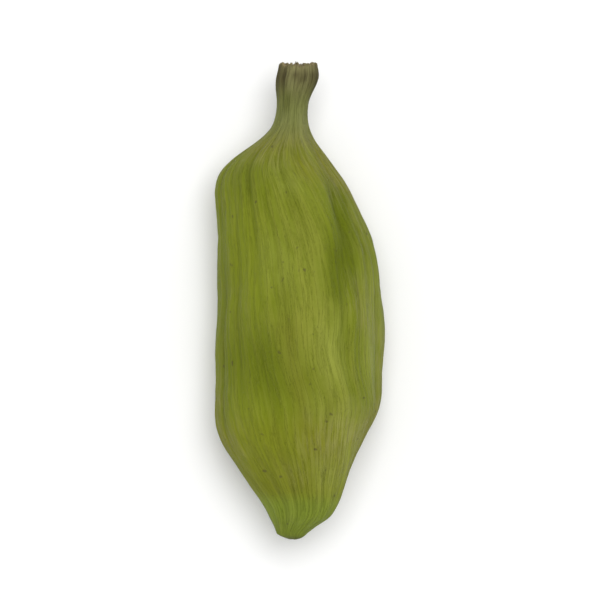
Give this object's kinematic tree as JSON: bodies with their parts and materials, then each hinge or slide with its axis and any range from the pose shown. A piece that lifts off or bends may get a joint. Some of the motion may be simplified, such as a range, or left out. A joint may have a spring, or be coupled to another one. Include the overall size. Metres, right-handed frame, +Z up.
{
  "type": "green cardamom pod",
  "caption": "Dried green cardamom pod: a closed, three-edged, lengthwise-veined capsule with a broken stalk stub and a blunt tip, lying on its flattest side.",
  "frame": {"origin": "on the surface that the pod lies on, under the middle of its box", "axes": "+Z up from the flat spot the pod rests on, +Y along the pod towards its stalk, +X to the right seen from above with the stalk up"},
  "size_m": [0.007, 0.0196, 0.0064],
  "materials": {
    "husk": "matte"
  },
  "bodies": {
    "root": {"cardamom_pod": "husk"}
  },
  "joints": []
}
